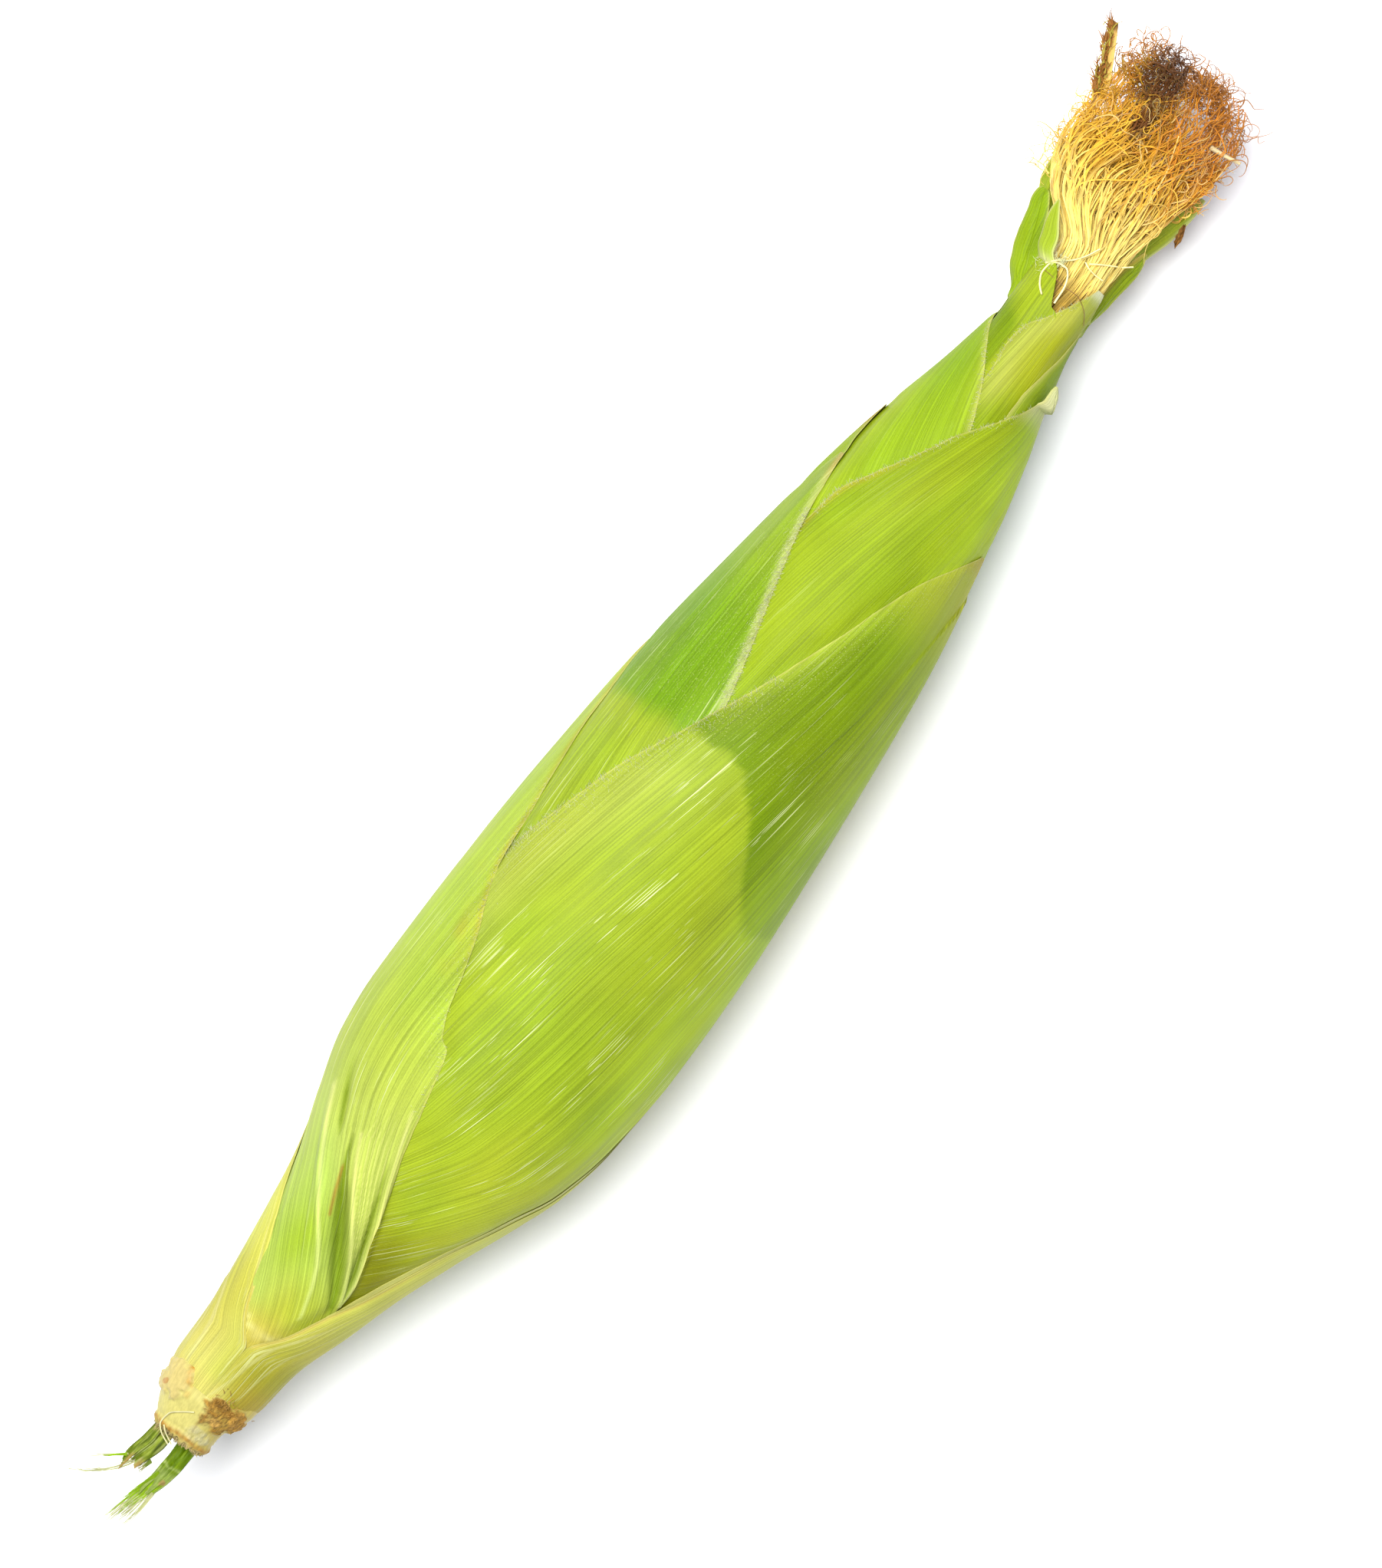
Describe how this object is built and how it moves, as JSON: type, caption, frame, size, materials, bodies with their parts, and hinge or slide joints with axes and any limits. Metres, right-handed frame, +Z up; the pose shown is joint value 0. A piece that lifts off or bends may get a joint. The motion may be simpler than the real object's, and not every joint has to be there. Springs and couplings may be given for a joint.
{
  "type": "corn cob in its husk",
  "caption": "Ear of sweet corn closed in its overlapping green husk leaves, lying on its side, with a snapped stalk butt and a dried tuft of silk.",
  "frame": {"origin": "middle of the small flat on the underside where the ear rests, under its widest place", "axes": "+X along the ear from the stalk butt to the silk, +Z up, +Y the side where the flag leaf stands out"},
  "size_m": [0.3576, 0.0586, 0.0567],
  "materials": {
    "husk_leaf": "satin",
    "inner_husk": "satin",
    "shank": "satin",
    "silk": "satin",
    "torn_sheath": "satin"
  },
  "bodies": {
    "root": {"husk_leaf_01_outer": "husk_leaf", "husk_leaf_02_under": "husk_leaf", "husk_leaf_03_folded": "husk_leaf", "husk_leaf_04_broad": "husk_leaf", "husk_leaf_05_dark": "husk_leaf", "husk_leaf_06_back": "husk_leaf", "husk_leaf_07_curled_tip": "husk_leaf", "husk_leaf_08_shoulder": "husk_leaf", "husk_leaf_09_neck": "husk_leaf", "husk_leaf_10_pale": "inner_husk", "husk_leaf_11_flag": "husk_leaf", "husk_leaf_12_cradle": "husk_leaf", "husk_leaf_13_dried_tip": "husk_leaf", "inner_husk": "inner_husk", "shank": "shank", "silk": "silk", "torn_sheath_upper": "torn_sheath", "torn_sheath_lower": "torn_sheath"}
  },
  "joints": []
}
